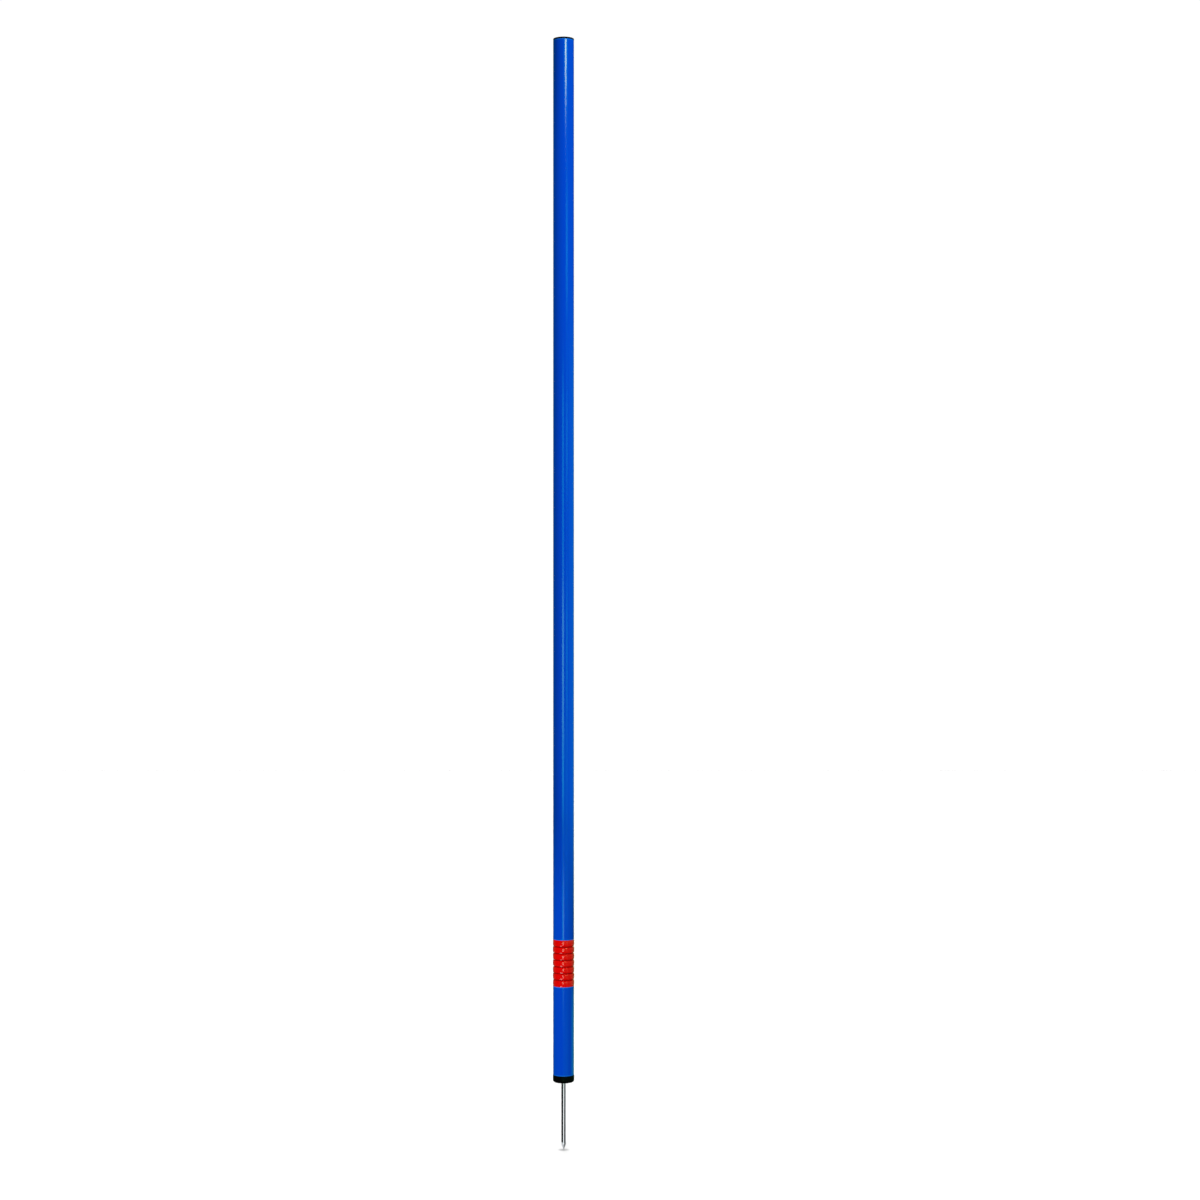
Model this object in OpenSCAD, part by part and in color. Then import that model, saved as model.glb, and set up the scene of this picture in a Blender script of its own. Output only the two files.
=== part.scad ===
// Slalom pole: a plastic tube on a steel ground spike, with a sprung rubber joint low down,
// so that the upper tube gives way when it is hit and stands up again.
// The origin is at ground level, in the middle of the foot cap's underside, and +Z is up.

/* [Tubes] */
// Outside diameter of both tubes
tube_d = 32; // [28:0.5:40]
// Wall thickness of both tubes
tube_wall = 1.8; // [1.2:0.1:2.4]
// Length of the tube above the joint
upper_tube_len = 1376; // [400:1:1800]
// Length of the tube below the joint
lower_tube_len = 136; // [110:1:300]

/* [Rubber boot] */
// Length of the boot that shows between the tubes
boot_len = 71; // [60:1:100]
// Number of grooves round the boot
groove_count = 6; // [3:1:8]
// Width of a groove at its mouth
groove_w = 1.8; // [1.5:0.1:3.5]
// Depth of a groove below the tube's surface
groove_depth = 1.9; // [1.5:0.1:2.4]
// How far the middle of a rib stands proud of the tube
rib_crown = 0.3; // [0.1:0.1:1]
// How far the edges of a rib fall below its middle
rib_fall = 0.6; // [0.3:0.1:1.4]
// Length of the sleeve that goes into each tube
sleeve_len = 30; // [22:1:36]
// Wall thickness of the sleeves
sleeve_wall = 2.6; // [2.2:0.1:3.4]

/* [Spring and plugs] */
// Thickness of the spring's wire
spring_wire = 3; // [2:0.1:4]
// Gap between neighbouring turns of the spring
turn_gap = 1; // [0.5:0.1:3]
// Clearance between the spring and the boot's bore
spring_room = 1; // [0.6:0.1:2]
// How deep the spring's seats lie inside the tubes
seat_depth = 8; // [4:1:14]
// Length of the spigots that hold the spring's ends
spigot_len = 18; // [8:1:24]
// Thickness of the flange behind each sleeve
plug_flange_t = 3; // [2:0.5:6]
// Wall thickness round the hollow of a plug
plug_wall = 5; // [3:0.5:6]
// Thickness of the plug between its hollow and the spring's seat
plug_floor = 4; // [2:0.5:8]

/* [Top cap] */
// Thickness of the top cap's rim
cap_rim_t = 2.5; // [1.2:0.1:6]
// Rounding of the top cap's upper edge
cap_round = 0.7; // [0.3:0.1:1.1]
// Length of the top cap's insert
cap_insert_len = 25; // [16:1:40]

/* [Foot cap] */
// Height of the foot cap below the tube
foot_h = 11; // [8:0.5:20]
// How far the foot cap stands proud of the tube
foot_proud = 0.3; // [0.1:0.1:2]
// Rounding of the foot cap's lower edge
foot_round = 3.5; // [1:0.1:4.5]
// Length of the foot cap's insert
foot_insert_len = 30; // [24:1:40]

/* [Cap inserts] */
// Wall thickness of both inserts
insert_wall = 2.2; // [1.4:0.1:3]
// Number of grip rings on each insert
ring_count = 3; // [1:1:4]
// Width of a grip ring at its foot
ring_w = 1.8; // [1:0.1:2.4]

/* [Ground spike] */
// Diameter of the spike
spike_d = 7; // [5:0.5:9]
// Length of the spike below the foot cap
spike_len = 104; // [60:1:200]
// Length of the four-sided point
point_len = 12; // [6:1:25]
// Diameter of the collar that is let into the foot cap
collar_d = 14; // [11:0.5:18]
// Thickness of the collar
collar_t = 2.5; // [1.5:0.1:4]
// Diameter of the threaded stud above the collar
stud_d = 6; // [4:0.5:8]
// Length of thread that stands out of the nut
stud_over = 2; // [1:0.5:4]

/* [Spike fixings] */
// Width of the flat washer's ring
washer_land = 3; // [2:0.1:3.6]
// Thickness of the flat washer
washer_t = 1.6; // [1:0.1:2.5]
// Width of the split washer's ring
split_land = 2.5; // [1.5:0.1:3]
// Thickness of the split washer
split_t = 1.6; // [1:0.1:2.5]
// Width of the cut through the split washer
split_cut = 0.8; // [0.4:0.1:1.5]
// Thickness of the nut's wall at its flats
nut_wall = 2; // [1.5:0.1:3]
// Height of the nut
nut_h = 5; // [3:0.5:8]

/* [Clearances] */
// Gap between a tube's end and the shoulder it meets
end_gap = 0.1; // [0.05:0.05:0.5]
// Radial clearance of the boot's sleeves and of the grip rings
snug = 0.05; // [0.02:0.01:0.1]
// Radial clearance of the inserts, flanges, collar and stud
loose = 0.15; // [0.1:0.05:0.3]
// Radial gap between the spring and its spigots
spigot_gap = 0.5; // [0.4:0.1:1]
// Gap between the spring's ends and their seats
seat_gap = 0.3; // [0.2:0.1:0.6]

/* [Hidden] */
tube_r = tube_d / 2;
tube_bore_r = tube_r - tube_wall;

// The height of each piece follows from the one below it
lower_tube_z = foot_h + end_gap;
boot_z = lower_tube_z + lower_tube_len + end_gap;
boot_top_z = boot_z + boot_len;
upper_tube_z = boot_top_z + end_gap;
cap_z = upper_tube_z + upper_tube_len + end_gap;

// The sleeves fill the tubes, and the plugs and the spring fill the boot
sleeve_r = tube_bore_r - snug;
boot_bore_r = sleeve_r - sleeve_wall;
plug_r = boot_bore_r - snug;
spring_r = boot_bore_r - spring_room - spring_wire / 2;
spigot_r = spring_r - spring_wire / 2 - spigot_gap;
spigot_chamfer = spigot_r / 6;
rib_pitch = boot_len / (groove_count + 1);
groove_floor_r = tube_r - groove_depth;
rib_steps = 8;
rib_power = 4;

// The spring runs from seat to seat
spring_pitch = spring_wire + turn_gap;
spring_z = boot_z - seat_depth + seat_gap + spring_wire / 2;
spring_end_z = boot_top_z + seat_depth - seat_gap - spring_wire / 2;
spring_turns = (spring_end_z - spring_z) / spring_pitch;
rings_a_turn = 12;
wire_sides = 8;

insert_r = tube_bore_r - loose;
grip_r = tube_bore_r - snug;
insert_lead = insert_wall / 2;

// The washers and the nut stack up on the foot cap's floor
stud_hole_r = stud_d / 2 + loose;
split_z = foot_h + washer_t;
nut_z = split_z + split_t;
stud_top_z = nut_z + nut_h + stud_over;
nut_r = (stud_d / 2 + nut_wall) / cos(30);
round_steps = 8;

$fn = 96;

blue = [0.0, 0.26, 0.76];
red = [0.80, 0.03, 0.03];
black = [0.07, 0.07, 0.08];
nylon = [0.90, 0.88, 0.82];
zinc = [0.72, 0.73, 0.74];
spring_steel = [0.45, 0.46, 0.48];

// Points of a quarter round about a centre, from one angle to another
function arc(centre, r, from, to) = [
    for (i = [0 : round_steps])
        let (a = from + (to - from) * i / round_steps)
            [centre[0] + r * cos(a), centre[1] + r * sin(a)]
];

// A tube that stands on its lower end
module pipe(len) {
    difference() {
        cylinder(r = tube_r, h = len);
        translate([0, 0, -1])
            cylinder(r = tube_bore_r, h = len + 2);
    }
}

// The hollow insert of a cap, standing on its rim, with grip rings and a tapered lead
module insert(len) {
    ring_step = (len - insert_lead) / (ring_count + 1);
    rotate_extrude()
        polygon(concat(
            [[insert_r - insert_wall, 0], [insert_r, 0]],
            [
                for (i = [1 : ring_count])
                    for (p = [[insert_r, -ring_w / 2], [grip_r, 0], [insert_r, ring_w / 2]])
                        [p[0], i * ring_step + p[1]]
            ],
            [
                [insert_r, len - insert_lead],
                [insert_r - insert_lead, len],
                [insert_r - insert_wall, len]
            ]
        ));
}

module top_cap() {
    color(black)
        translate([0, 0, cap_z]) {
            rotate_extrude()
                polygon(concat(
                    [[0, 0], [tube_r, 0]],
                    arc([tube_r - cap_round, cap_rim_t - cap_round], cap_round, 0, 90),
                    [[0, cap_rim_t]]
                ));
            mirror([0, 0, 1])
                insert(cap_insert_len);
        }
}

module upper_tube() {
    color(blue)
        translate([0, 0, upper_tube_z])
            pipe(upper_tube_len);
}

// A nylon plug inside a sleeve of the boot, with its origin at the tube's end and its spigot up
module spring_plug() {
    back_z = -sleeve_len - end_gap - plug_flange_t;
    difference() {
        rotate_extrude()
            polygon([
                [0, back_z],
                [insert_r, back_z],
                [insert_r, back_z + plug_flange_t],
                [plug_r, back_z + plug_flange_t],
                [plug_r, -seat_depth],
                [spigot_r, -seat_depth],
                [spigot_r, spigot_len - seat_depth - spigot_chamfer],
                [spigot_r - spigot_chamfer, spigot_len - seat_depth],
                [0, spigot_len - seat_depth]
            ]);
        translate([0, 0, back_z - 1])
            cylinder(r = plug_r - plug_wall, h = -seat_depth - plug_floor - back_z + 1);
    }
}

module upper_spring_plug() {
    color(nylon)
        translate([0, 0, boot_top_z])
            mirror([0, 0, 1])
                spring_plug();
}

module lower_spring_plug() {
    color(nylon)
        translate([0, 0, boot_z])
            spring_plug();
}

// The middle of the wire at a step along the spring
function wire_point(i) =
    let (a = 360 * i / rings_a_turn)
        [spring_r * cos(a), spring_r * sin(a), spring_z + spring_pitch * i / rings_a_turn];

// A ring of points round the wire, square to its run
function wire_ring(i) =
    let (
        a = 360 * i / rings_a_turn,
        out = [cos(a), sin(a), 0],
        lead = atan(spring_pitch / (2 * PI * spring_r)),
        up = [sin(a) * sin(lead), -cos(a) * sin(lead), cos(lead)]
    ) [
        for (k = [0 : wire_sides - 1])
            let (b = 360 * k / wire_sides)
                wire_point(i) + spring_wire / 2 * (cos(b) * out + sin(b) * up)
    ];

// The least gap between one turn and the next, measured along the middle of the wire
function least_turn_gap(steps) =
    min([
        for (i = [0 : rings_a_turn : steps])
            for (j = [i + rings_a_turn / 2 : steps])
                norm(wire_point(i) - wire_point(j))
    ]) - spring_wire;

module coil_spring() {
    steps = floor(spring_turns * rings_a_turn);
    last = steps * wire_sides;
    echo(least_gap_between_turns = least_turn_gap(steps));
    color(spring_steel)
        polyhedron(
            points = [for (i = [0 : steps]) each wire_ring(i)],
            faces = concat(
                [
                    for (i = [0 : steps - 1])
                        for (k = [0 : wire_sides - 1])
                            let (
                                a = i * wire_sides + k,
                                b = i * wire_sides + (k + 1) % wire_sides
                            )
                                each [[a, b, a + wire_sides], [b, b + wire_sides, a + wire_sides]]
                ],
                [for (k = [1 : wire_sides - 2]) [0, k + 1, k]],
                [for (k = [1 : wire_sides - 2]) [last, last + k, last + k + 1]]
            )
        );
}

// How far a rib stands out of the tube's surface, u running from -1 to 1 along the rib:
// it falls away towards a groove, and comes down flush with the tube that it meets
function swell(u, meets_tube) =
    meets_tube ? rib_crown * (1 - u * u) : rib_crown - rib_fall * pow(abs(u), rib_power);

// The outline of rib number n
function rib(n) =
    let (
        first = n == 0,
        last = n == groove_count,
        z_from = n * rib_pitch + (first ? 0 : groove_w / 2),
        z_to = (n + 1) * rib_pitch - (last ? 0 : groove_w / 2)
    ) [
        for (i = [0 : rib_steps])
            let (u = 2 * i / rib_steps - 1)
                [
                    tube_r + swell(u, (first && u < 0) || (last && u > 0)),
                    z_from + (z_to - z_from) * i / rib_steps
                ]
    ];

// The floor of the groove below rib number n
function groove_floor(n) = [
    for (side = [-1, 1])
        [groove_floor_r, n * rib_pitch + side * groove_w / 8]
];

module flex_boot() {
    color(red)
        translate([0, 0, boot_z])
            rotate_extrude()
                polygon(concat(
                    [
                        [boot_bore_r, -sleeve_len],
                        [sleeve_r, -sleeve_len],
                        [sleeve_r, 0]
                    ],
                    [
                        for (n = [0 : groove_count])
                            each concat(n == 0 ? [] : groove_floor(n), rib(n))
                    ],
                    [
                        [sleeve_r, boot_len],
                        [sleeve_r, boot_len + sleeve_len],
                        [boot_bore_r, boot_len + sleeve_len]
                    ]
                ));
}

module lower_tube() {
    color(blue)
        translate([0, 0, lower_tube_z])
            pipe(lower_tube_len);
}

module foot_cap() {
    foot_r = tube_r + foot_proud;
    color(black)
        difference() {
            union() {
                rotate_extrude()
                    polygon(concat(
                        [[0, 0]],
                        arc([foot_r - foot_round, foot_round], foot_round, -90, 0),
                        [[foot_r, foot_h], [0, foot_h]]
                    ));
                translate([0, 0, foot_h])
                    insert(foot_insert_len);
            }
            translate([0, 0, -1])
                cylinder(r = collar_d / 2 + loose, h = collar_t + 1);
            translate([0, 0, -1])
                cylinder(r = stud_hole_r, h = foot_h + 2);
        }
}

// The spike is turned from one bar: point, shank, collar and stud
module spike() {
    color(zinc)
        difference() {
            union() {
                translate([0, 0, -spike_len])
                    cylinder(d = spike_d, h = spike_len);
                cylinder(d = collar_d, h = collar_t);
                cylinder(d = stud_d, h = stud_top_z);
            }
            for (side = [0 : 90 : 270])
                translate([0, 0, -spike_len])
                    rotate([0, atan(spike_d / 2 / point_len), side + 45])
                        translate([0, -spike_d, -point_len])
                            cube([2 * spike_d, 2 * spike_d, 3 * point_len]);
        }
}

module spike_washer() {
    color(zinc)
        translate([0, 0, foot_h])
            difference() {
                cylinder(r = stud_d / 2 + washer_land, h = washer_t);
                translate([0, 0, -1])
                    cylinder(r = stud_hole_r, h = washer_t + 2);
            }
}

module spike_lock_washer() {
    color(zinc)
        translate([0, 0, split_z])
            difference() {
                cylinder(r = stud_d / 2 + split_land, h = split_t);
                translate([0, 0, -1])
                    cylinder(r = stud_hole_r, h = split_t + 2);
                translate([0, -split_cut / 2, -1])
                    cube([stud_d / 2 + split_land + 1, split_cut, split_t + 2]);
            }
}

// The nut is a hexagon whose corners are turned down at both ends
module spike_nut() {
    color(zinc)
        translate([0, 0, nut_z])
            difference() {
                intersection() {
                    cylinder(r = nut_r, h = nut_h, $fn = 6);
                    cylinder(r1 = nut_r * 0.9, r2 = nut_r * 0.9 + nut_h, h = nut_h);
                    cylinder(r1 = nut_r * 0.9 + nut_h, r2 = nut_r * 0.9, h = nut_h);
                }
                translate([0, 0, -1])
                    cylinder(r = stud_d / 2 + snug, h = nut_h + 2);
            }
}

top_cap();
upper_tube();
upper_spring_plug();
coil_spring();
flex_boot();
lower_spring_plug();
lower_tube();
foot_cap();
spike();
spike_washer();
spike_lock_washer();
spike_nut();
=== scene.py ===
from math import atan, cos, radians, sin, tau

import bmesh
import bpy
from mathutils import Matrix, Vector


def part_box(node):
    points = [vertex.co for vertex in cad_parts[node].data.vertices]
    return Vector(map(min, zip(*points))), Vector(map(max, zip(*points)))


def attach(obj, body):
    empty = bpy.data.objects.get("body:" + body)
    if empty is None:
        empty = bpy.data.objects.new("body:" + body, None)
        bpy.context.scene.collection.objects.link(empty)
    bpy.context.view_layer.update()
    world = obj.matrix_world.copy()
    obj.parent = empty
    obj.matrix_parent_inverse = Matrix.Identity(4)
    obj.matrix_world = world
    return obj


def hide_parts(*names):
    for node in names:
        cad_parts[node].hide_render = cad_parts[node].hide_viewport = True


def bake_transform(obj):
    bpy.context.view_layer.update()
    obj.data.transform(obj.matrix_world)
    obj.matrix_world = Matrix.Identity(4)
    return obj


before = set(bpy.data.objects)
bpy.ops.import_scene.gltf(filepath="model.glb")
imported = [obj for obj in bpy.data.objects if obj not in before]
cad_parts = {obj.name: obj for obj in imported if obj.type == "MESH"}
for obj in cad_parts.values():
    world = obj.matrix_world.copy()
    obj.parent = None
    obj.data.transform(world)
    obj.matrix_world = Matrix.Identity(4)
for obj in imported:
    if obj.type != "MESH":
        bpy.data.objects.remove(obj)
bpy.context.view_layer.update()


# Ground spike
# A steel bar, turned to a shank, a collar and a threaded stud, with a point of four ground
# facets, then plated in bright zinc. The collar lies let into the foot cap's underside.

spike_low, spike_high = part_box("spike")
shank_r = 0.0035
collar_t = 0.0025
stud_r = 0.003
point_len = 0.012
facet_share = 0.64
collar_ease = 0.0003
collar_fillet = 0.0004
thread_pitch = 0.001
thread_depth = 0.0004
crest_w = 0.0002
hold = 0.0003


def arc(r, z, radius, start, end, steps=6):
    """Points of a round stretch of an outline about (r, z), from one angle to another in degrees."""
    turns = [radians(start + (end - start) * step / steps) for step in range(steps + 1)]
    return [(r + radius * cos(turn), z + radius * sin(turn)) for turn in turns]


def held(outline):
    """An outline with a point close to each end of its long stretches, which shade true there."""
    closed = outline[0][0] > 0
    route = [Vector(point) for point in outline + outline[:1] * closed]
    points = route[:1]
    for near, far in zip(route, route[1:]):
        step = (far - near).normalized() * hold
        if (far - near).length > 4 * hold:
            points += [near + step, far - step]
        points.append(far)
    return points[:-1] if closed else points


def turned(outline, steps=128):
    """A body of revolution about the pole's axis, from the (radius, height) points of its outline."""
    mesh = bmesh.new()
    points = [mesh.verts.new((r, 0, z)) for r, z in held(outline)]
    lines = [mesh.edges.new(pair) for pair in zip(points, points[1:])]
    if outline[0][0] > 0:
        lines.append(mesh.edges.new((points[-1], points[0])))
    bmesh.ops.spin(
        mesh, geom=points + lines, cent=(0, 0, 0), axis=(0, 0, 1), dvec=(0, 0, 0),
        angle=tau, steps=steps, use_merge=True,
    )
    tidied(mesh)
    return mesh


def tidied(mesh):
    """Merge the doubles of a mesh, and turn its faces outwards."""
    bmesh.ops.remove_doubles(mesh, verts=mesh.verts, dist=1e-6)
    bmesh.ops.recalc_face_normals(mesh, faces=mesh.faces)


def cut(mesh, place, normal):
    """Cut away what lies beyond a plane, and close the cut with a flat face."""
    parts = mesh.verts[:] + mesh.edges[:] + mesh.faces[:]
    found = bmesh.ops.bisect_plane(
        mesh, geom=parts, dist=1e-7, plane_co=place, plane_no=normal, clear_outer=True
    )
    rim = [part for part in found["geom_cut"] if isinstance(part, bmesh.types.BMEdge)]
    bmesh.ops.edgeloop_fill(mesh, edges=rim)


def shown(name, mesh, finish, body, replaces, crease=30):
    """Turn a bmesh into a piece: smooth but for its creases, in its finish, and on its body."""
    data = bpy.data.meshes.new(name)
    mesh.to_mesh(data)
    mesh.free()
    data.shade_smooth()
    data.set_sharp_from_angle(angle=radians(crease))
    data.materials.append(finish)
    piece = bpy.data.objects.new(name, data)
    bpy.context.scene.collection.objects.link(piece)
    if body:
        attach(piece, body)
    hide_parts(replaces)
    return piece


class Wire:
    """One output of a shader node; sums and products of wires add their Math nodes."""

    def __init__(self, nodes, socket):
        self.nodes = nodes
        self.socket = socket

    def maths(self, operation, *values):
        return self.nodes.add(
            "ShaderNodeMath", {"operation": operation}, dict(enumerate(values))
        )

    def __add__(self, other):
        return self.maths("ADD", self, other)

    def __radd__(self, other):
        return self.maths("ADD", other, self)

    def __sub__(self, other):
        return self.maths("SUBTRACT", self, other)

    def __rsub__(self, other):
        return self.maths("SUBTRACT", other, self)

    def __mul__(self, other):
        return self.maths("MULTIPLY", self, other)

    def __rmul__(self, other):
        return self.maths("MULTIPLY", other, self)

    def least(self, other):
        return self.maths("MINIMUM", self, other)


class Nodes:
    """The node tree of a finish or of the studio, emptied and then filled node by node."""

    def __init__(self, tree):
        self.tree = tree
        tree.nodes.clear()

    def add(self, kind, settings=None, sockets=None, output=0):
        """Add a node: its settings first, then the values or wires of its sockets."""
        made = self.tree.nodes.new(kind)
        for name, value in (settings or {}).items():
            setattr(made, name, value)
        for name, value in (sockets or {}).items():
            if isinstance(value, Wire):
                self.tree.links.new(value.socket, made.inputs[name])
            else:
                made.inputs[name].default_value = value
        return Wire(self, made.outputs[output]) if made.outputs else None

    def grain(self, place, size, detail=3.0, stretch=(1, 1, 1)):
        """Noise from 0 to 1, with spots of a size in metres, stretched along the axes."""
        scaled = self.add("ShaderNodeMapping", sockets={"Vector": place, "Scale": stretch})
        return self.add(
            "ShaderNodeTexNoise", sockets={"Vector": scaled, "Scale": 1 / size, "Detail": detail}
        )

    def ramp(self, value, low, high, to_low=0.0, to_high=1.0):
        """A smooth step of a value, from one level at low to another at high."""
        return self.add(
            "ShaderNodeMapRange",
            {"interpolation_type": "SMOOTHSTEP"},
            {"Value": value, "From Min": low, "From Max": high, "To Min": to_low, "To Max": to_high},
        )

    def mix(self, factor, first, second):
        """A colour between two others."""
        return self.add(
            "ShaderNodeMix", {"data_type": "RGBA"}, {0: factor, 6: first, 7: second}, output=2
        )

    def reach(self, place):
        """How far a place lies from the pole's axis."""
        level = self.add(
            "ShaderNodeVectorMath", {"operation": "MULTIPLY"}, {0: place, 1: (1, 1, 0)}
        )
        return self.add("ShaderNodeVectorMath", {"operation": "LENGTH"}, {0: level}, "Value")

    def surface(self, height, depth, **sockets):
        """The shader of a finish, its relief given as a height from 0 to 1 and a depth in metres."""
        relief = self.add("ShaderNodeBump", sockets={"Height": height, "Distance": depth})
        named = {name.replace("_", " "): value for name, value in sockets.items()}
        shader = self.add("ShaderNodeBsdfPrincipled", sockets={"Normal": relief, **named})
        self.add("ShaderNodeOutputMaterial", sockets={"Surface": shader})


def new_finish(name):
    """An empty material, and the nodes object that fills it."""
    material = bpy.data.materials.new(name)
    material.use_nodes = True
    return material, Nodes(material.node_tree)


def plated_zinc(name, draw):
    """Bright zinc over steel, with the fine lines of drawing or turning stretched by draw."""
    material, nodes = new_finish(name)
    place = nodes.add("ShaderNodeTexCoord", output="Object")
    lines = nodes.grain(place, 0.0006, 4.0, draw)
    cloud = nodes.grain(place, 0.009, 2.0)
    speck = nodes.ramp(nodes.grain(place, 0.0005, 1.0), 0.66, 0.74)
    tone = nodes.mix(cloud, (0.70, 0.73, 0.76, 1), (0.78, 0.79, 0.80, 1))
    nodes.surface(
        lines + 0.3 * speck,
        0.000002,
        Base_Color=nodes.mix(0.2 * speck, tone, (0.45, 0.47, 0.50, 1)),
        Metallic=1.0,
        Roughness=0.06 + 0.05 * lines + 0.04 * cloud,
    )
    return material


root_r = stud_r - thread_depth
collar_rim = spike_high.x - collar_ease
outline = [(0, spike_low.z), (shank_r, spike_low.z + facet_share * point_len)]
outline += [(shank_r, -collar_fillet)]
outline += arc(shank_r + collar_fillet, -collar_fillet, collar_fillet, 180, 90)
outline += arc(collar_rim, collar_ease, collar_ease, -90, 0, 3)
outline += arc(collar_rim, collar_t - collar_ease, collar_ease, 0, 90, 3)
outline += [(root_r, collar_t), (root_r, collar_t + thread_pitch)]
thread_turns = int((spike_high.z - collar_t) / thread_pitch) - 2
for turn in range(thread_turns):
    crest = collar_t + (turn + 1.5) * thread_pitch
    outline += [(stud_r, crest - crest_w / 2), (stud_r, crest + crest_w / 2)]
    outline += [(root_r, crest + thread_pitch / 2)]
outline += [(root_r, spike_high.z), (0, spike_high.z)]
bar = turned(outline, 96)
facet = atan(shank_r / point_len)
for side in range(4):
    out = Matrix.Rotation((side + 0.5) * tau / 4, 3, "Z") @ Vector((cos(facet), 0, -sin(facet)))
    cut(bar, (0, 0, spike_low.z), out)
tidied(bar)
drawn_zinc = plated_zinc("zinc_drawn", (1, 1, 0.02))
spike_bar = shown("spike_bar", bar, drawn_zinc, "base", "spike", crease=12)


# Foot cap
# A black plastic moulding with a rounded flange that carries the tube, and a hollow insert with
# three grip rings that is glued into it. The spike's collar is let into its underside.

cap_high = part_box("foot_cap")[1]
tube_low, tube_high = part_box("lower_tube")
tube_r = tube_high.x
tube_wall = 0.0018
end_gap = 0.0001
loose = 0.00015
insert_r = tube_r - tube_wall - loose
insert_wall = 0.0022
insert_lead = insert_wall / 2
ring_rise = 0.0001
ring_w = 0.0018
flange_h = tube_low.z - end_gap
flange_round = 0.0035
flange_ease = 0.0004
recess_r = spike_high.x + loose
recess_ease = 0.0003
stud_hole_r = stud_r + loose


def insert_outline(root, end, rings=3):
    """The outside of a cap's insert from its root to its end, with grip rings and a lead."""
    along = 1 if end > root else -1
    tip = end - along * insert_lead
    points = [(insert_r, root)]
    for ring in range(1, rings + 1):
        middle = root + (tip - root) * ring / (rings + 1)
        points += [
            (insert_r, middle - along * ring_w / 2),
            (insert_r + ring_rise, middle),
            (insert_r, middle + along * ring_w / 2),
        ]
    return points + [(insert_r, tip), (insert_r - insert_lead, end), (insert_r - insert_wall, end)]


outline = [(stud_hole_r, collar_t), (recess_r, collar_t)]
outline += arc(recess_r + recess_ease, recess_ease, recess_ease, 180, 270, 3)
outline += arc(cap_high.x - flange_round, flange_round, flange_round, -90, 0, 12)
outline += arc(cap_high.x - flange_ease, flange_h - flange_ease, flange_ease, 0, 90, 4)
outline += insert_outline(flange_h, cap_high.z)
outline += [(insert_r - insert_wall, flange_h), (stud_hole_r, flange_h)]


def moulded_black(name):
    """Black moulding plastic with the fine spark-eroded grain of its tool."""
    material, nodes = new_finish(name)
    place = nodes.add("ShaderNodeTexCoord", output="Object")
    grain = nodes.grain(place, 0.0004, 4.0)
    cloud = nodes.grain(place, 0.012, 2.0)
    nodes.surface(
        grain,
        0.00003,
        Base_Color=nodes.mix(cloud, (0.0010, 0.0010, 0.0011, 1), (0.0020, 0.0019, 0.0020, 1)),
        Roughness=0.32 + 0.10 * grain + 0.06 * cloud,
        Specular_IOR_Level=0.10,
    )
    return material


black = moulded_black("black_moulding")
shown("foot_cap_moulding", turned(outline), black, "base", "foot_cap")


# Washers and nut
# Plated steel: a flat washer, a split washer and a hexagon nut on the stud, inside the foot
# cap's insert. They pull the spike's collar up into its recess.

washer_low, washer_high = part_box("spike_washer")
split_low, split_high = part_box("spike_lock_washer")
nut_low, nut_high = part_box("spike_nut")
edge_ease = 0.00015
split_cut = 0.0008
nut_lead = 0.0003
corner_slope = radians(30)


def ring_outline(inner, outer, low, high, ease):
    """The outline of a plain ring with its four edges eased."""
    return (
        arc(outer - ease, low + ease, ease, -90, 0, 2)
        + arc(outer - ease, high - ease, ease, 0, 90, 2)
        + arc(inner + ease, high - ease, ease, 90, 180, 2)
        + arc(inner + ease, low + ease, ease, 180, 270, 2)
    )


turned_zinc = plated_zinc("zinc_turned", (1, 1, 0.6))
outline = ring_outline(stud_hole_r, washer_high.x, washer_low.z, washer_high.z, edge_ease)
shown("flat_washer", turned(outline, 64), turned_zinc, "base", "spike_washer")

split = turned(
    ring_outline(stud_hole_r, split_high.y, split_low.z, split_high.z, edge_ease), 64
)
for side in (-1, 1):
    parts = split.verts[:] + split.edges[:] + split.faces[:]
    bmesh.ops.bisect_plane(
        split, geom=parts, dist=1e-7, plane_co=(0, side * split_cut / 2, 0), plane_no=(0, 1, 0)
    )
in_gap = [
    face for face in split.faces
    if face.calc_center_median().x > 0 and abs(face.calc_center_median().y) < split_cut / 2
]
bmesh.ops.delete(split, geom=in_gap, context="FACES")
bmesh.ops.holes_fill(split, edges=[edge for edge in split.edges if edge.is_boundary])
tidied(split)
shown("split_washer", split, turned_zinc, "base", "spike_lock_washer")

nut_flat_r = nut_high.x * cos(tau / 12)
nut = turned(
    [
        (stud_r, nut_low.z + nut_lead), (stud_r + nut_lead, nut_low.z),
        (nut_high.x, nut_low.z), (nut_high.x, nut_high.z),
        (stud_r + nut_lead, nut_high.z), (stud_r, nut_high.z - nut_lead),
    ],
    60,
)
for flat in range(6):
    out = Matrix.Rotation((flat + 0.5) * tau / 6, 3, "Z") @ Vector((1, 0, 0))
    cut(nut, out * nut_flat_r, out)
    for corner_z, up in ((nut_low.z, -1), (nut_high.z, 1)):
        corner = Matrix.Rotation(flat * tau / 6, 3, "Z") @ Vector((1, 0, 0))
        slant = corner * sin(corner_slope) + Vector((0, 0, up * cos(corner_slope)))
        cut(nut, corner * nut_flat_r + Vector((0, 0, corner_z)), slant)
tidied(nut)
shown("hexagon_nut", nut, turned_zinc, "base", "spike_nut", crease=12)


# Lower tube
# A short length of the pole's blue plastic tube, extruded, coloured right through and glossy.
# Both ends are sawn and lightly eased, and painted a shade paler: partly the cut edge, partly a
# painted highlight.

tube_bore_r = tube_r - tube_wall
tube_ease = 0.0004
blue_deep = (0.0002, 0.050, 0.510, 1)
blue_full = (0.0004, 0.056, 0.545, 1)
# The paler blue of the ends: partly the sawn edge, partly a painted highlight on the eased edge.
blue_sawn_and_highlit = (0.0010, 0.170, 0.700, 1)


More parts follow.
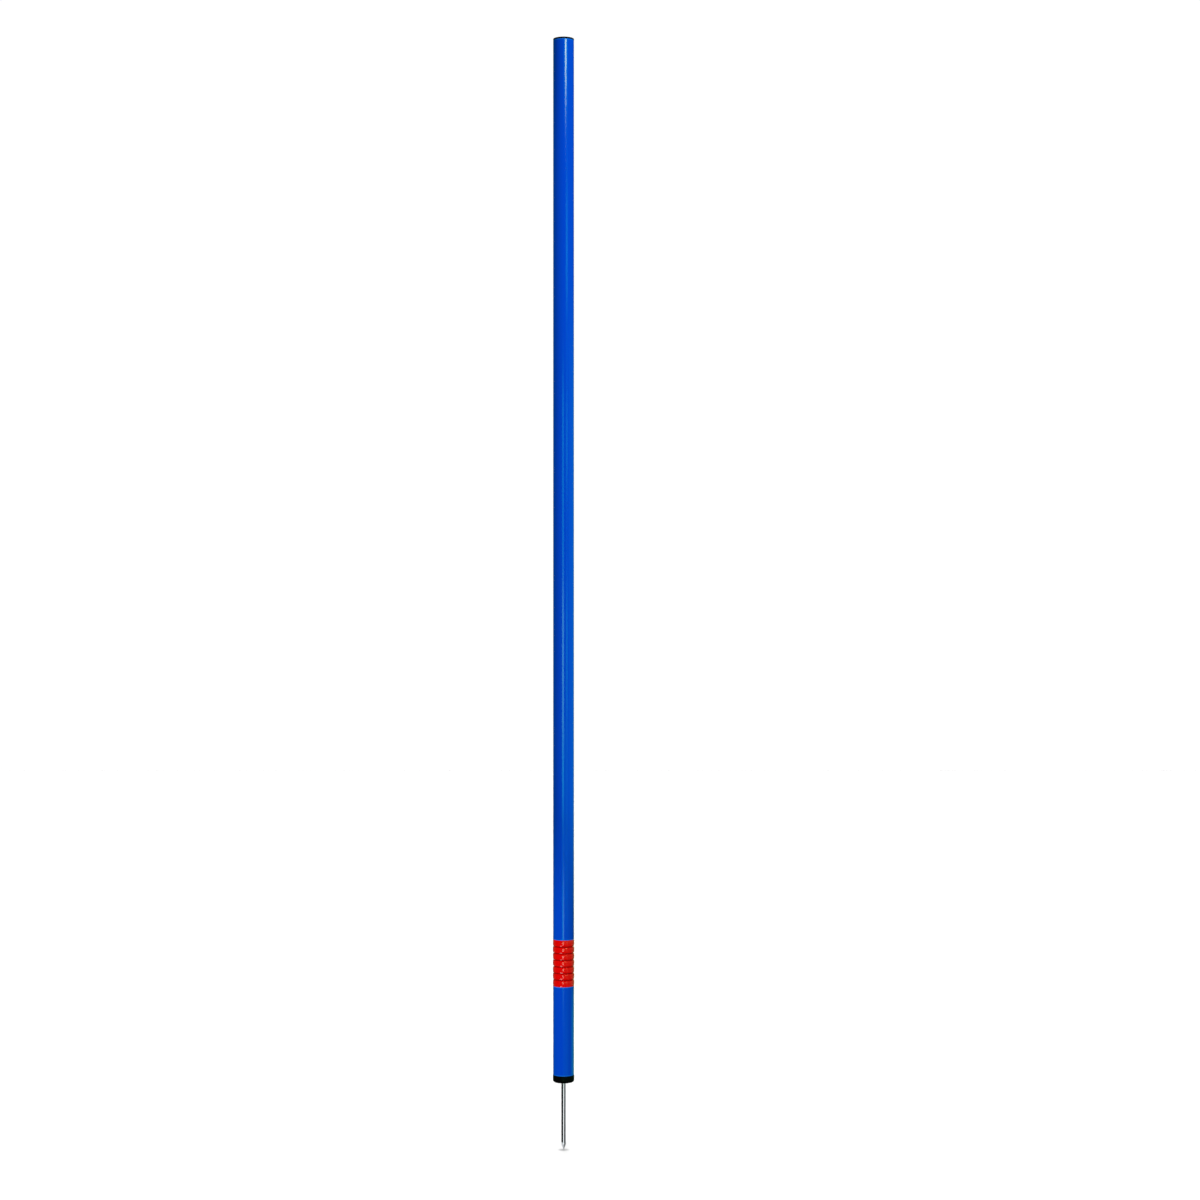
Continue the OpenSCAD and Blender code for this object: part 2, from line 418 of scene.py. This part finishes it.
def tube_outline(low, high):
    """The outline of a tube between two heights, with its outer edges eased."""
    return [
        (tube_bore_r, low),
        *arc(tube_r - tube_ease, low + tube_ease, tube_ease, -90, 0, 4),
        *arc(tube_r - tube_ease, high - tube_ease, tube_ease, 0, 90, 4),
        (tube_bore_r, high),
    ]


def extruded_blue(name, low, high):
    """Glossy blue plastic with the long faint lines of extrusion, and sawn ends painted paler, partly
    as a painted highlight.
    """
    material, nodes = new_finish(name)
    place = nodes.add("ShaderNodeTexCoord", output="Object")
    height = nodes.add("ShaderNodeSeparateXYZ", sockets={0: place}, output="Z")
    lines = nodes.grain(place, 0.0012, 3.0, (1, 1, 0.004))
    waves = nodes.grain(place, 0.05, 2.0, (1, 1, 0.35))
    rubs = nodes.ramp(nodes.grain(place, 0.004, 5.0, (1, 1, 0.15)), 0.58, 0.80)
    from_end = (height - low).least(high - height)
    # Painted highlight, partly the sawn edge's tone: the blue turns paler over the last two
    # millimetres of each end.
    paler_end_and_highlight = nodes.ramp(from_end, 0.0004, 0.0020, 1.0, 0.0)
    tone = nodes.mix(0.6 * waves + 0.4 * lines, blue_deep, blue_full)
    nodes.surface(
        lines,
        0.0000008,
        Base_Color=nodes.mix(0.75 * paler_end_and_highlight, tone, blue_sawn_and_highlit),
        Roughness=0.06 + 0.02 * lines + 0.03 * rubs + 0.15 * paler_end_and_highlight,
    )
    return material


shown(
    "lower_tube_shell",
    turned(tube_outline(tube_low.z, tube_high.z)),
    extruded_blue("blue_lower_tube", tube_low.z, tube_high.z),
    "base", "lower_tube",
)


# Spring plugs
# Two turned nylon plugs, each glued inside one of the boot's sleeves behind a flange. Their
# spigots hold the ends of the coil spring.

upper_low, upper_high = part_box("upper_tube")
boot_z = tube_high.z + end_gap
boot_top_z = upper_low.z - end_gap
snug = 0.00005
sleeve_wall = 0.0026
boot_bore_r = tube_bore_r - snug - sleeve_wall
plug_r = boot_bore_r - snug
plug_back = boot_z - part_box("lower_spring_plug")[0].z
plug_flange_t = 0.003
seat_depth = 0.008
seat_corner = 0.0002
spigot_r = 0.00705
spigot_len = 0.018
spigot_round = 0.0012
plug_lead = 0.0004
plug_bore_r = plug_r - 0.005
plug_bore_end = -seat_depth - 0.004
plug_bore_round = 0.001
plug_bore_ease = 0.0005


def natural_nylon(name):
    """Natural nylon, off-white and satin, with faint rings left by the lathe."""
    material, nodes = new_finish(name)
    place = nodes.add("ShaderNodeTexCoord", output="Object")
    rings = nodes.grain(place, 0.0005, 2.0, (0.02, 0.02, 1))
    cloud = nodes.grain(place, 0.008, 3.0)
    nodes.surface(
        rings,
        0.00002,
        Base_Color=nodes.mix(cloud, (0.72, 0.68, 0.57, 1), (0.82, 0.80, 0.71, 1)),
        Roughness=0.36 + 0.12 * rings + 0.06 * cloud,
        Subsurface_Weight=0.15,
        Subsurface_Scale=0.002,
    )
    return material


def plug_outline(end, inward):
    """A plug's outline about a tube's end, inward being 1 or -1 towards the boot's middle."""
    flange = -plug_back + plug_flange_t
    spigot_end = spigot_len - seat_depth
    side = [
        (0, plug_bore_end), (plug_bore_r - plug_bore_round, plug_bore_end),
        (plug_bore_r, plug_bore_end - plug_bore_round),
        (plug_bore_r, -plug_back + plug_bore_ease),
        (plug_bore_r + plug_bore_ease, -plug_back), (insert_r - plug_lead, -plug_back),
        (insert_r, -plug_back + plug_lead), (insert_r, flange - seat_corner),
        (insert_r - seat_corner, flange), (plug_r, flange), (plug_r, -seat_depth - plug_lead),
        (plug_r - plug_lead, -seat_depth), (spigot_r + seat_corner, -seat_depth),
        (spigot_r, -seat_depth + seat_corner),
        *arc(spigot_r - spigot_round, spigot_end - spigot_round, spigot_round, 0, 90, 6),
        (0, spigot_end),
    ]
    return [(r, end + inward * height) for r, height in side]


nylon = natural_nylon("natural_nylon")
shown(
    "lower_plug_turned", turned(plug_outline(boot_z, 1), 96), nylon,
    "base", "lower_spring_plug",
)
shown(
    "upper_plug_turned", turned(plug_outline(boot_top_z, -1), 96), nylon,
    "upper", "upper_spring_plug",
)


# Coil spring
# Round spring wire, oil-tempered, wound with a small gap between its turns and sprung between
# the two plugs. It stands the upper tube up again, and bends with the boot.

wire_r = 0.0015
spring_room = 0.001
coil_r = boot_bore_r - spring_room - wire_r
coil_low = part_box("coil_spring")[0].z + wire_r
coil_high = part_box("coil_spring")[1].z - wire_r
coil_pitch = 0.004
ring_steps = 36
bend_middle = (boot_z + boot_top_z) / 2


def keep_rest(piece):
    """Note where each point lies at rest, for a pattern that follows the piece as it bends."""
    rest = piece.data.attributes.new("rest", "FLOAT_VECTOR", "POINT")
    for point, vertex in zip(rest.data, piece.data.vertices):
        point.vector = vertex.co


def bend_low(piece):
    """Note a piece's rest points and bake its placing into its mesh; it lies in the lower half of the
    joint.
    """
    keep_rest(piece)
    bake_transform(piece)


def bend_high(piece):
    """Note a piece's rest points and bake its placing into its mesh; it lies in the upper half of the
    joint.
    """
    keep_rest(piece)
    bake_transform(piece)


def tempered_steel(name):
    """Dark oil-tempered wire, brushed along its run, with a film of oil."""
    material, nodes = new_finish(name)
    place = nodes.add("ShaderNodeAttribute", {"attribute_name": "rest"}, output="Vector")
    scale_marks = nodes.grain(place, 0.0009, 4.0)
    cloud = nodes.grain(place, 0.006, 2.0)
    nodes.surface(
        scale_marks,
        0.00001,
        Base_Color=nodes.mix(scale_marks, (0.20, 0.20, 0.21, 1), (0.42, 0.42, 0.43, 1)),
        Metallic=1.0,
        Roughness=0.24 + 0.16 * scale_marks + 0.06 * cloud,
    )
    return material


def wound(first, last):
    """The spring's wire between two of its steps, swept round and up in one unbroken run."""
    coil = bmesh.new()
    lead = atan(coil_pitch / (tau * coil_r))
    lie = (
        Matrix.Rotation(first * tau / ring_steps, 4, "Z")
        @ Matrix.Translation((coil_r, 0, coil_low + first * coil_pitch / ring_steps))
        @ Matrix.Rotation(lead, 4, "X")
        @ Matrix.Rotation(tau / 4, 4, "X")
    )
    start = bmesh.ops.create_circle(coil, segments=14, radius=wire_r, matrix=lie)["verts"]
    rim = list({edge for point in start for edge in point.link_edges})
    bmesh.ops.spin(
        coil, geom=start + rim, cent=(0, 0, 0), axis=(0, 0, 1),
        dvec=(0, 0, coil_pitch / ring_steps), angle=(last - first) * tau / ring_steps,
        steps=last - first,
    )
    bmesh.ops.holes_fill(coil, edges=[edge for edge in coil.edges if edge.is_boundary])
    tidied(coil)
    return coil


wire_steel = tempered_steel("oil_tempered_wire")
coil_steps = int((coil_high - coil_low) / coil_pitch * ring_steps)
half_steps = coil_steps // 2
bend_low(
    shown(
        "coil_spring_lower", wound(0, half_steps), wire_steel,
        None, "coil_spring",
    )
)
bend_high(
    shown(
        "coil_spring_upper", wound(half_steps, coil_steps), wire_steel,
        None, "coil_spring",
    )
)


# Flex boot
# A red rubber moulding with seven soft ribs between six notches, as wide as the tube, and a
# plain sleeve at each end that is glued inside a tube. Its middle is where its two halves meet.

sleeve_r = tube_bore_r - snug
sleeve_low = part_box("flex_boot")[0].z
sleeve_ease = 0.0005
sleeve_lead = 0.0008
rib_count = 7
rib_pitch = (boot_top_z - boot_z) / rib_count
rib_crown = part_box("flex_boot")[1].x - tube_r
rib_fall = 0.0004
rib_power = 4
rib_steps = 20
bore_steps = 32
notch_w = 0.0018
notch_depth = 0.0019
notch_round = 0.0003


def swell(along, meets_tube):
    """How far a rib stands out of the tube's surface, along running from -1 to 1 over the rib."""
    if meets_tube:
        return rib_crown * (1 - along ** 2)
    return rib_crown - rib_fall * abs(along) ** rib_power


def half_boot_outline():
    """The lower half of the boot, from its sleeve to the middle of the fourth rib."""
    points = [
        (boot_bore_r + sleeve_ease, sleeve_low), (sleeve_r - sleeve_ease, sleeve_low),
        (sleeve_r, sleeve_low + sleeve_lead), (sleeve_r, boot_z), (tube_r - end_gap, boot_z),
    ]
    for rib in range(rib_count // 2 + 1):
        start = boot_z + rib * rib_pitch + (notch_w / 2 if rib else end_gap)
        end = boot_z + (rib + 1) * rib_pitch - notch_w / 2
        if rib:
            middle = boot_z + rib * rib_pitch
            points += arc(tube_r - notch_depth + notch_round, middle, notch_round, 240, 120, 6)
        for step in range(rib_steps + 1):
            along = 2 * step / rib_steps - 1
            height = start + (end - start) * step / rib_steps
            if height < bend_middle - 1e-6:
                points.append((tube_r + swell(along, rib == 0 and along < 0), height))
    points.append((tube_r + rib_crown, bend_middle))
    for step in range(bore_steps + 1):
        points.append((boot_bore_r, bend_middle + (boot_z - bend_middle) * step / bore_steps))
    return points + [(boot_bore_r, sleeve_low + sleeve_ease)]


def moulded_red(name):
    """Semi-gloss red rubber, faintly mottled and finely grained, with painted shade darkening its
    notches.
    """
    material, nodes = new_finish(name)
    place = nodes.add("ShaderNodeAttribute", {"attribute_name": "rest"}, output="Vector")
    # Painted shade: the red darkens, and also roughens, down into the notches.
    painted_notch_shade = nodes.ramp(nodes.reach(place), tube_r - notch_depth, tube_r - 0.0004, 1.0, 0.0)
    mottle = nodes.grain(place, 0.0035, 4.0)
    grain = nodes.grain(place, 0.0003, 3.0)
    tone = nodes.mix(mottle, (0.62, 0.0003, 0.0003, 1), (0.72, 0.0012, 0.0008, 1))
    nodes.surface(
        grain + 0.6 * mottle,
        0.000006,
        Base_Color=nodes.mix(0.9 * painted_notch_shade, tone, (0.26, 0.0003, 0.0003, 1)),
        Roughness=0.10 + 0.04 * mottle + 0.25 * painted_notch_shade,
        Specular_IOR_Level=0.36,
    )
    return material


red = moulded_red("red_rubber")
lower_half = half_boot_outline()
upper_half = [(r, boot_z + boot_top_z - z) for r, z in lower_half]
boot_halves = (
    shown("flex_boot_lower", turned(lower_half), red, None, "flex_boot"),
    shown("flex_boot_upper", turned(upper_half), red, None, "flex_boot"),
)
bend_low(boot_halves[0])
bend_high(boot_halves[1])


# Upper tube
# The same extruded blue tube, the pole's whole length above the joint, bare and unmarked.

shown(
    "upper_tube_shell",
    turned(tube_outline(upper_low.z, upper_high.z)),
    extruded_blue("blue_upper_tube", upper_low.z, upper_high.z),
    "upper", "upper_tube",
)


# Top cap
# A black plastic moulding that closes the pole, with a thin rim, a soft upper edge and the
# small dimple of its gate, glued in by a hollow insert like the foot cap's.

top_low, top_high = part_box("top_cap")
rim_low = upper_high.z + end_gap
rim_round = 0.0007
rim_ease = 0.0002
gate_r = 0.0025
gate_depth = 0.0004

outline = [(0, top_high.z - gate_depth), (gate_r - gate_depth, top_high.z - gate_depth)]
outline += [(gate_r, top_high.z)]
outline += arc(tube_r - rim_round, top_high.z - rim_round, rim_round, 90, 0, 8)
outline += arc(tube_r - rim_ease, rim_low + rim_ease, rim_ease, 0, -90, 3)
outline += insert_outline(rim_low, top_low.z)
outline += [(insert_r - insert_wall, rim_low), (0, rim_low)]
shown("top_cap_moulding", turned(outline), black, "upper", "top_cap")


# Studio
# A plain white sweep under soft light. Tall softboxes stand round the pole, and it is only
# their reflections that draw the long highlights on it.

floor_reach = 8.0
floor_z = spike_low.z - 0.0002


def staged(name, mesh, material):
    """Turn a bmesh into a thing of the studio, which isn't part of the pole."""
    data = bpy.data.meshes.new(name)
    mesh.to_mesh(data)
    mesh.free()
    data.materials.append(material)
    thing = bpy.data.objects.new(name, data)
    bpy.context.scene.collection.objects.link(thing)
    return thing


sweep = bmesh.new()
bmesh.ops.create_grid(
    sweep, x_segments=8, y_segments=8, size=floor_reach,
    matrix=Matrix.Translation((0, 0, floor_z)),
)
floor_paint, nodes = new_finish("floor_paint")
place = nodes.add("ShaderNodeTexCoord", output="Object")
cloud = nodes.grain(place, 0.4, 2.0)
pale = nodes.mix(cloud, (0.395, 0.395, 0.395, 1), (0.405, 0.405, 0.405, 1))
# Painted contact shadow: the floor is painted darker round the spike's tip.
painted_contact_shadow = nodes.ramp(nodes.reach(place), 0.004, 0.011, 0.35, 0.0)
paint = nodes.add(
    "ShaderNodeBsdfDiffuse", sockets={"Color": nodes.mix(painted_contact_shadow, pale, (0, 0, 0, 1))}
)
from_below = nodes.add("ShaderNodeNewGeometry", output="Backfacing")
clear = nodes.add("ShaderNodeBsdfTransparent")
floor_look = nodes.add("ShaderNodeMixShader", sockets={0: from_below, 1: paint, 2: clear})
nodes.add("ShaderNodeOutputMaterial", sockets={"Surface": floor_look})
floor_sweep = staged("floor_sweep", sweep, floor_paint)
floor_sweep.visible_diffuse = False
floor_sweep.visible_glossy = False


def bearings(nodes, way):
    """The bearing of a way about the pole, nought towards the camera and growing to the right."""
    way_x, way_y = (
        nodes.add("ShaderNodeSeparateXYZ", sockets={0: way}, output=axis) for axis in "XY"
    )
    return nodes.add("ShaderNodeMath", {"operation": "ARCTAN2"}, {0: way_x, 1: -1 * way_y})


def window(nodes, angle, low, high, soft):
    """1 between two angles in degrees and 0 outside them, with soft ends."""
    rise = nodes.ramp(angle, radians(low - soft), radians(low + soft))
    return rise - nodes.ramp(angle, radians(high - soft), radians(high + soft))


# White cards lie on the floor, and of all the pieces it is only the spike that mirrors them.
# They end where they would keep the softboxes' reflections out of the lower tube.
card_reach = 0.55
tip_reach = 0.03
cards = bmesh.new()
bmesh.ops.create_circle(
    cards, cap_ends=True, segments=64, radius=card_reach,
    matrix=Matrix.Translation((0, 0, floor_z + 0.0001)),
)
card_glow, nodes = new_finish("card_glow")
place = nodes.add("ShaderNodeTexCoord", output="Object")
turn = bearings(nodes, place)
by_foot = nodes.ramp(nodes.reach(place), 0.05, 0.45, 0.06, 0.20)
bands = (
    1.6 * window(nodes, turn, -15, 11, 3)
    + by_foot * window(nodes, turn, 11, 75, 3)
    + 0.42 * window(nodes, turn, 75, 190, 3)
    + 0.02 * window(nodes, turn, -124, -15, 3)
    + 0.15 * window(nodes, turn, -190, -124, 3)
)
tip_bands = 0.75 * window(nodes, turn, -190, 0, 4) + 0.25 * window(nodes, turn, 0, 190, 4)
by_tip = nodes.ramp(nodes.reach(place), 1.15 * tip_reach, 0.85 * tip_reach)
glow = nodes.add(
    "ShaderNodeEmission",
    sockets={"Strength": bands + by_tip * (tip_bands - bands), "Color": (0.97, 0.99, 1.0, 1)},
)
nodes.add("ShaderNodeOutputMaterial", sockets={"Surface": glow})
foot_cards = staged("foot_cards", cards, card_glow)
foot_cards.visible_camera = False
foot_cards.visible_diffuse = False
foot_cards.visible_shadow = False
spike_only = bpy.data.collections.new("spike_only")
spike_only.objects.link(spike_bar)
foot_cards.light_linking.receiver_collection = spike_only

studio = bpy.data.worlds.new("studio")
studio.use_nodes = True
bpy.context.scene.world = studio
nodes = Nodes(studio.node_tree)
way = nodes.add("ShaderNodeTexCoord", output="Generated")
turn = bearings(nodes, way)
way_z = nodes.add("ShaderNodeSeparateXYZ", sockets={0: way}, output="Z")
lift = nodes.add("ShaderNodeMath", {"operation": "ARCSINE"}, {0: way_z})


def softbox(strength, turns, lifts, soft_turn=1.5, soft_lift=0.6):
    """The light of a softbox that is seen between two bearings and two heights, in degrees."""
    upright = window(nodes, turn, *turns, soft_turn)
    return strength * upright * window(nodes, lift, *lifts, soft_lift)


left_column = (-16, 5)
right_column = (25, 47)
white_boxes = (
    softbox(14.5, (16.5, 31), (12.5, 15), 1.5, 1.1)
    + softbox(0.7, left_column, (-3.3, 0.2))
    + softbox(0.9, (-5, 6), (-9.1, -6.9))
    + softbox(1.4, (158, 175), (-25, 30), 4.0, 3.0)
)
cool_boxes = (
    softbox(2.8, (5, 36), (12.2, 15), 2.0, 1.1)
    + softbox(2.2, (24, 36), (12.0, 15), 2.0, 1.1)
    + softbox(2.0, (36, 46), (12.0, 15), 2.0, 1.1)
    + softbox(1.7, left_column, (0.6, 5.4))
    + softbox(2.9, left_column, (-5.2, 0.2))
    + softbox(2.4, left_column, (-9.1, -6.9))
    + softbox(0.35, left_column, (-9.6, 5.4))
    + softbox(1.8, right_column, (7.3, 9.8))
    + softbox(1.4, right_column, (2.8, 4.8))
    + softbox(1.3, right_column, (-2.7, 0.2))
    + softbox(0.25, right_column, (-5.5, 11.0))
    + softbox(0.50, (8, 50), (-7.9, -2.9), 5.0, 0.5)
    + softbox(0.30, (-5, 50), (-13, -9.5), 5.0, 0.4)
    + softbox(0.45, (60, 150), (-6.8, 6.5), 15.0, 2.0)
    + softbox(0.75, (92, 150), (-13, -9.5), 12.0, 0.4)
    + softbox(0.14, (30, 170), (-30, 40), 10.0, 2.0)
    + softbox(0.15, (-178, -100), (-30, 40), 20.0, 2.0)
)
over_box = softbox(0.6, (-190, 190), (42, 95), 4.0, 6.0)
gloss = nodes.add(
    "ShaderNodeCombineXYZ",
    sockets={
        0: over_box + white_boxes + 0.03 * cool_boxes,
        1: over_box + 0.95 * white_boxes + cool_boxes,
        2: over_box + 0.35 * white_boxes + 0.5 * cool_boxes,
    },
)
ambient = 0.36
seen = nodes.add("ShaderNodeLightPath", output="Is Camera Ray")
mirrored = nodes.add("ShaderNodeLightPath", output="Is Glossy Ray")
around = nodes.mix(mirrored, (ambient, ambient, ambient, 1), gloss)
sky = nodes.add("ShaderNodeBackground", sockets={0: nodes.mix(seen, around, (1.02, 1.02, 1.02, 1))})
nodes.add("ShaderNodeOutputWorld", sockets={0: sky})


def lamp(name, kind, turn, lift):
    """A lamp on a bearing and at a height in degrees, and the way from the pole to it."""
    light = bpy.data.lights.new(name, kind)
    source = bpy.data.objects.new(name, light)
    source.visible_glossy = False
    bpy.context.scene.collection.objects.link(source)
    level = cos(radians(lift))
    way = Vector((sin(radians(turn)) * level, -cos(radians(turn)) * level, sin(radians(lift))))
    return source, way


def far_lamp(name, turn, lift, spread, radiance):
    """A far soft lamp; radiance is what it adds to a white face that is turned towards it."""
    source, way = lamp(name, "SUN", turn, lift)
    source.data.angle = radians(spread)
    source.data.energy = radiance * tau / 2
    source.rotation_euler = way.to_track_quat("Z", "Y").to_euler()
    return source


def strip_lamp(name, turn, lift, width, height, radiance, faces):
    """A flat lamp close to the boot, which only the given things mirror; nothing else sees it."""
    source, way = lamp(name, "AREA", turn, lift)
    source.data.shape = "RECTANGLE"
    source.data.size = width
    source.data.size_y = height
    source.data.energy = radiance * tau / 2 * width * height
    source.location = Vector((0, 0, bend_middle)) + way * strip_distance
    source.rotation_euler = way.to_track_quat("Z", "Y").to_euler()
    source.visible_camera = False
    source.visible_diffuse = False
    source.visible_glossy = True
    source.light_linking.receiver_collection = faces


def beam_lamp(name, turn, lift, low, high, radiance, blend):
    """A lamp whose beam falls on the pole between two heights."""
    source, way = lamp(name, "SPOT", turn, lift)
    source.location = Vector((0, 0, (low + high) / 2)) + way * beam_distance
    to_low = Vector((0, 0, low)) - source.location
    to_high = Vector((0, 0, high)) - source.location
    aim = to_low.normalized() + to_high.normalized()
    source.rotation_euler = aim.to_track_quat("-Z", "Y").to_euler()
    source.data.spot_size = to_low.angle(to_high)
    source.data.spot_blend = blend
    source.data.shadow_soft_size = beam_width
    source.data.energy = radiance * (tau * beam_distance) ** 2


beam_distance = 4.0
beam_width = 0.08
beam_lamp("key_beam", 34, 18, 0.31, 2.1, 0.90, 0.10)
beam_lamp("foot_beam", -8, 18, -0.6, 0.34, 0.62, 0.10)
beam_lamp("fill_beam", -70, 8, -1.0, 1.56, 0.20, 0.15)
far_lamp("side_lamp", 100, 15, 30, 0.06)
far_lamp("back_lamp", 190, 25, 20, 0.55)
floor_lamp = far_lamp("floor_lamp", 0, 90, 60, 2.0)
floor_only = bpy.data.collections.new("floor_only")
floor_only.objects.link(floor_sweep)
floor_lamp.light_linking.receiver_collection = floor_only
boot_only = bpy.data.collections.new("boot_only")
for half in boot_halves:
    boot_only.objects.link(half)
strip_distance = 0.36
strip_lamp("rib_strip", -4, -5.5, 0.045, 0.08, 6.4, boot_only)
strip_lamp("hook_strip", -27, -34, 0.12, 0.14, 6.6, boot_only)


# Camera
# Level with the middle of the pole, a little to its right, with a long lens.

picture_width = 1200
pixel = 0.00153125
distance = 3.6
camera = bpy.data.cameras.new("camera")
camera.sensor_width = 36
camera.lens = camera.sensor_width * distance / (pixel * picture_width)
camera_stand = bpy.data.objects.new("camera", camera)
camera_stand.location = (0.0557, -distance, 0.7377)
camera_stand.rotation_euler = (tau / 4, 0, 0)
bpy.context.scene.collection.objects.link(camera_stand)
bpy.context.scene.camera = camera_stand
bpy.context.scene.view_settings.view_transform = "Standard"
